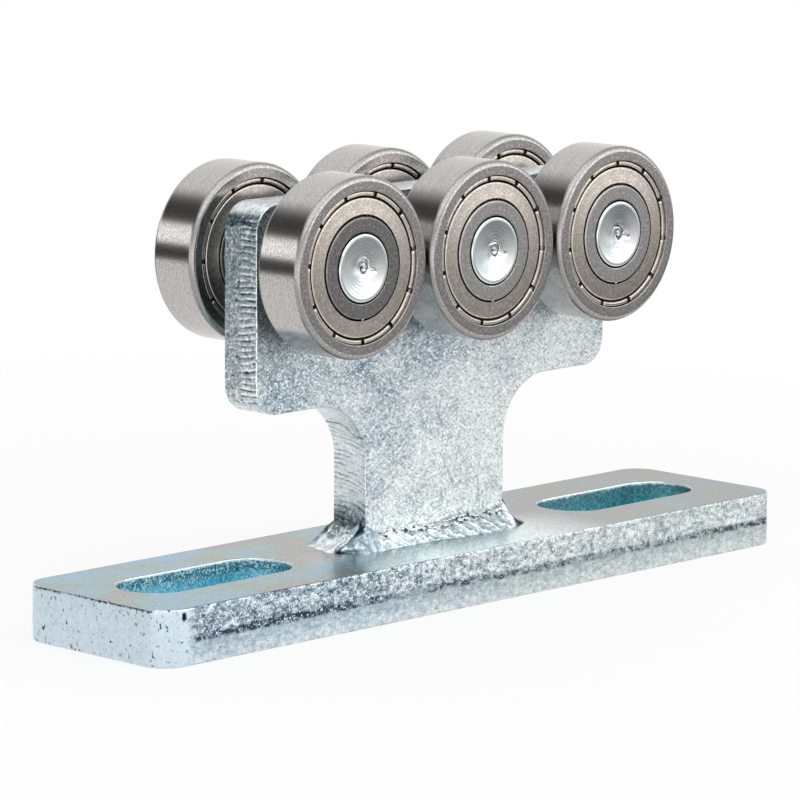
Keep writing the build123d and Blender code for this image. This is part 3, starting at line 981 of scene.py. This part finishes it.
def bar_zinc(name):
    """Zinc on the bar: satin top, grainy sides, blue slots and pitted ends, the left one's look reaching
    raggedly round its corners."""
    s = material(name)
    x, y, _ = s.axes()
    facing = s.facing()
    upward = s.spread(s.magnitude(facing[2]), 0.80, 0.97)
    crystals = s.noise(0.68, detail=3, roughness=0.78, stretch=(1.5, 1, 1))
    ragged = s.minus(s.times(crystals, 0.004), x)
    endward = s.larger(s.spread(facing[0], -0.35, -0.80), s.spread(facing[0], 0.90, 0.99))
    endward = s.larger(endward, s.spread(ragged, 0.0745, 0.0765))
    side = corner_crack(s, s.mix(endward, bar_side(s, crystals), bar_end(s, crystals)), crystals)
    in_slot = s.is_below(s.magnitude(y), 0.0085)
    in_slot = s.times(in_slot, s.is_below(s.magnitude(x), 0.0735))
    side = s.mix(in_slot, side, slot_wall(s))
    top, satin = bar_top(s)
    rough_side = s.spread(crystals, 0.35, 0.65, 0.50, 0.30)
    rough = s.mix(upward, rough_side, s.spread(satin, 0.3, 0.7, 0.30, 0.22))
    depth = s.spread(endward, 0.0, 1.0, 1.0, 0.25)
    relief = s.bump(s.times(crystals, depth), 0.10)
    normal = s.mix(upward, relief, s.bump(satin, 0.006), kind="VECTOR")
    return s.finish(s.mix(upward, side, top), rough, normal)


def ground_steel(name, light, dark, roughness, ring_size, relief, speckle=0.0, gap_shade_radius=0.0, edge=0.0):
    """Ground or turned steel, its fine lines running round the Y axis.

    speckle is for its flat faces, and edge paints shade on its rounded edges to dim their highlight.
    Within a given radius in millimetres it is painted black: painted shade of the gap round the part
    inside."""
    s = material(name)
    lines = s.rings(ring_size)
    fine = s.noise(0.35, roughness=0.6)
    mixed = s.times_plus(fine, 0.5, s.times(lines, 0.5))
    rough = s.spread(fine, 0.3, 0.7, roughness * 1.25, roughness * 0.8)
    if speckle:
        level = s.magnitude(s.facing()[1])
        grit = s.minus(s.noise(0.55, detail=3, roughness=0.75, shift=0.05), 0.57)
        mixed = s.times_plus(grit, s.spread(level, 0.90, 0.98, 0.0, speckle), mixed)
        turned = s.times(s.spread(level, 0.04, 0.25), s.spread(level, 0.99, 0.90))
        rough = s.times_plus(turned, 0.10, rough)
    tone = s.ramp(mixed, (0.38, dark), (0.62, light))
    # Painted shade on the rounded edges, to dim their highlight.
    if edge:
        tone = s.mix(s.times(turned, edge), tone, (0.05, 0.048, 0.046))
    # Painted black within the given radius: painted shade of the gap round the part inside.
    if gap_shade_radius:
        tone = s.mix(s.spread(s.radius(), gap_shade_radius * MM, (gap_shade_radius - 0.06) * MM), tone, (0.008, 0.007, 0.006))
    return s.finish(tone, rough, s.bump(mixed, relief))


LOOKS = {
    "base_plate": bar_zinc("base_zinc"),
    "hanger_plate": needle_zinc("plate_zinc"),
    "cut_edge": toned_metal(
        "flame_cut_zinc",
        ((0.05, (0.03, 0.045, 0.06)), (0.32, (0.17, 0.225, 0.26)), (0.54, (0.38, 0.44, 0.47)),
         (0.74, (0.63, 0.70, 0.725)), (0.92, (0.95, 0.97, 0.98))),
        (0.50, 0.30), strength=0.7),
    "weld_bead": toned_metal(
        "weld_zinc",
        ((0.0, (0.015, 0.03, 0.04)), (0.28, (0.20, 0.28, 0.33)), (0.55, (0.47, 0.56, 0.60)),
         (0.80, (0.80, 0.86, 0.88)), (1.0, (1.0, 1.0, 1.0))),
        (0.36, 0.22), strength=0.25, relief=0.01),
    "axle": toned_metal(
        "axle_zinc",
        ((0.0, (0.01, 0.012, 0.015)), (0.25, (0.20, 0.23, 0.25)), (0.50, (0.60, 0.67, 0.69)),
         (0.72, (0.82, 0.88, 0.89)), (0.95, (1.0, 1.0, 1.0))),
        (0.26, 0.18), strength=0.35, relief=0.006, turned=True),
    "spacer": ground_steel("spacer_zinc", (0.72, 0.75, 0.77), (0.55, 0.58, 0.60), 0.30, 0.30, 0.010),
    "inner_ring": ground_steel(
        "inner_ring_steel", (0.30, 0.29, 0.285), (0.15, 0.145, 0.14), 0.30, 0.20, 0.008, 1.2, gap_shade_radius=6.32),
    "lighter_inner_ring": ground_steel(
        "lighter_inner_ring_steel", (0.52, 0.50, 0.485), (0.29, 0.28, 0.27), 0.30, 0.20, 0.008, 1.0,
        gap_shade_radius=6.32),
    "outer_ring": ground_steel(
        "outer_ring_steel", (0.62, 0.595, 0.575), (0.37, 0.355, 0.343), 0.18, 0.25, 0.006, 2.3, edge=0.35),
    "shield": ground_steel(
        "shield_steel", (0.69, 0.63, 0.565), (0.46, 0.42, 0.38), 0.24, 0.30, 0.010, 1.0, gap_shade_radius=9.30),
    "cage": satin_metal("cage_polyamide", (0.75, 0.72, 0.62), (0.8, 0.77, 0.68), metallic=0.0),
    "balls": ground_steel("ball_steel", (0.75, 0.75, 0.76), (0.70, 0.70, 0.71), 0.06, 0.5, 0.0005),
    "groove": satin_metal("groove_shadow", (0.010, 0.008, 0.007), (0.05, 0.04, 0.035), 0.02, (0.7, 0.5)),
}


def dress_nodes():
    """The construction's own solids get their materials."""
    for name, node in nodes.items():
        key = next(k for k in LOOKS if k in name)
        node.data.materials.clear()
        node.data.materials.append(LOOKS[key])


def stand_for(piece, kind, node, body="root"):
    """A detailed piece takes a solid's place, finish and body."""
    if not piece.data.materials:
        piece.data.materials.append(LOOKS[kind])
    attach(piece, body)
    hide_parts(node)


def wheels():
    for row, side in ROWS:
        for column, label in enumerate(COLUMNS):
            name = f"{row}_{label}"
            y = side * (PLATE_HALF + SPACER_LENGTH + WHEEL_HALF)
            place = ((column - 1) * WHEEL_PITCH, y, AXLE_HEIGHT)
            body = f"wheel_{name}"
            stand_for(outer_ring(f"ground_ring_{name}", place), "outer_ring", f"outer_ring_{name}", body)
            finish = "inner_ring" if label == "left" else "lighter_inner_ring"
            stand_for(inner_ring(f"ground_inner_ring_{name}", place), finish, f"inner_ring_{name}")
            for face in (-1, 1):
                where = "outboard" if face == side else "inboard"
                turns = NOTCH_TURNS[row] if face < 0 else HIDDEN_TURNS
                piece = shield(f"crimped_{where}_shield_{name}", place, face, turns[column])
                stand_for(piece, "shield", f"{where}_shield_{name}", body)


def axles():
    for column, label in enumerate(COLUMNS):
        piece = axle(f"turned_axle_{label}", ((column - 1) * WHEEL_PITCH, 0, AXLE_HEIGHT))
        stand_for(piece, "axle", f"axle_{label}")


def plates():
    stand_for(bar(), "base_plate", "base_plate")
    stand_for(hanger(), "hanger_plate", "hanger_plate")
    stand_for(weld(), "weld_bead", "weld_bead")


def camera():
    """The photograph's camera."""
    yaw, pitch, roll = (math.radians(a) for a in (CAMERA_YAW, CAMERA_PITCH, CAMERA_ROLL))
    ahead = Vector((math.sin(yaw) * math.cos(pitch), math.cos(yaw) * math.cos(pitch), -math.sin(pitch)))
    level = Vector((math.cos(yaw), -math.sin(yaw), 0))
    top = level.cross(ahead)
    right = math.cos(roll) * level + math.sin(roll) * top
    up = math.cos(roll) * top - math.sin(roll) * level
    data = bpy.data.cameras.new("camera")
    data.sensor_width = SENSOR_WIDTH
    data.lens = CAMERA_FOCAL_PIXELS / PHOTO_WIDTH_PIXELS * SENSOR_WIDTH
    data.clip_start = 0.01
    data.clip_end = 50
    obj = add_object("camera", data)
    turn = Matrix((right, up, -ahead)).transposed().to_4x4()
    obj.matrix_world = Matrix.Translation(CAMERA_PLACE) @ turn
    bpy.context.scene.camera = obj


# Brightness of the studio's walls by elevation in degrees: ahead of the camera and behind it, towards the
# left, where a lamp strip hangs in a dark wall, and towards the right
FRONT_WALL = ((-90, 0.45), (-4, 1.18), (50, 1.0), (90, 0.9))
BACK_WALL = ((-90, 0.45), (-40, 0.8), (-26, 2.0), (0, 2.0), (14, 0.8), (90, 0.8))
LEFT_WALL = (
    (-90, 0.38), (-12, 0.25), (-7, 0.04), (4.5, 0.04), (8, 1.6), (21, 1.5), (25, 0.05), (39, 0.05),
    (52, 0.9), (90, 0.9),
)
RIGHT_WALL = (
    (-90, 0.10), (-20, 0.10), (-14, 0.14), (-9.5, 0.32), (-5, 0.62), (0, 0.85), (10, 0.95), (30, 0.85),
    (50, 0.85), (90, 0.9),
)
BRIGHTEST_WALL = 2.0


def world():
    """A white backdrop, seen by the camera and in the metal, and a plain studio with graded walls."""
    studio = bpy.data.worlds.new("studio")
    bpy.context.scene.world = studio
    s = Shader(studio)
    x, y, z = s.parts(s.place["Generated"])
    height = s.times_plus(z, 0.5, 0.5)
    level = s.result("ShaderNodeVectorMath", s.result("ShaderNodeCombineXYZ", x, y), operation="NORMALIZE")
    yaw = math.radians(CAMERA_YAW)
    to_right, to_front = (
        s.result("ShaderNodeVectorMath", level, direction, operation="DOT_PRODUCT", output="Value")
        for direction in ((math.cos(yaw), -math.sin(yaw), 0), (math.sin(yaw), math.cos(yaw), 0)))
    walls = []
    for stops in (FRONT_WALL, BACK_WALL, LEFT_WALL, RIGHT_WALL):
        heights = [(math.sin(math.radians(e)) * 0.5 + 0.5, grey / BRIGHTEST_WALL) for e, grey in stops]
        walls.append(s.ramp(height, *heights))
    front, back, left, right = walls
    ahead = s.spread(to_front, -0.1, 0.1)
    at_left, at_right = s.spread(to_right, -0.72, -0.88), s.spread(to_right, 0.60, 0.85)
    colour = s.mix(at_right, s.mix(at_left, s.mix(ahead, back, front), left), right)
    backdrop = s.times(ahead, s.minus(1.0, s.larger(at_left, at_right)))
    from_camera, mirrored = s.rays()
    seen = s.times_plus(mirrored, backdrop, from_camera, clamp=True)
    room = s.result("ShaderNodeBackground", colour, BRIGHTEST_WALL)
    white = s.result("ShaderNodeBackground", (1, 1, 1), 1.0)
    s.end(s.result("ShaderNodeMixShader", seen, room, white), "ShaderNodeOutputWorld")


def floor():
    """Pale table top that fades into the white background and keeps the object's shadow."""
    mesh = bpy.data.meshes.new("floor")
    build = bmesh.new()
    bmesh.ops.create_circle(build, cap_ends=True, segments=96, radius=0.33)
    bmesh.ops.translate(build, verts=build.verts, vec=(-0.10, 0.09, 0))
    build.to_mesh(mesh)
    build.free()
    s = material("floor_white")
    from_camera, mirrored = s.rays()
    diffuse = s.result("ShaderNodeBsdfDiffuse", (0.60, 0.60, 0.60))
    glow = s.result("ShaderNodeEmission", (1, 1, 1), 1.04)
    clear = s.result("ShaderNodeBsdfTransparent")
    lit = s.result("ShaderNodeMixShader", s.times(s.larger(from_camera, mirrored), 0.80), diffuse, glow)
    reach = s.result("ShaderNodeVectorMath", s.place["Object"], operation="LENGTH", output="Value")
    fade = s.times(s.spread(reach, 0.14, 0.30), from_camera)
    mesh.materials.append(s.end(s.result("ShaderNodeMixShader", fade, lit, clear)))
    obj = add_object("floor", mesh, (0, 0, -0.02 * MM))


def lamp(name, place, size, power):
    """A square lamp that faces the object."""
    data = bpy.data.lights.new(name, "AREA")
    data.size = size
    data.energy = power
    target = Vector((0, 0, 0.03))
    obj = add_object(name, data, place)
    obj.rotation_euler = (target - Vector(place)).to_track_quat("-Z", "Y").to_euler()


def lamps():
    lamp("key", (-0.3, -0.4, 0.9), 1.1, 5)
    lamp("fill", (0.55, -0.75, 0.42), 0.9, 3)


dress_nodes()
wheels()
axles()
plates()
camera()
world()
floor()
lamps()
bpy.context.scene.view_settings.view_transform = "Standard"
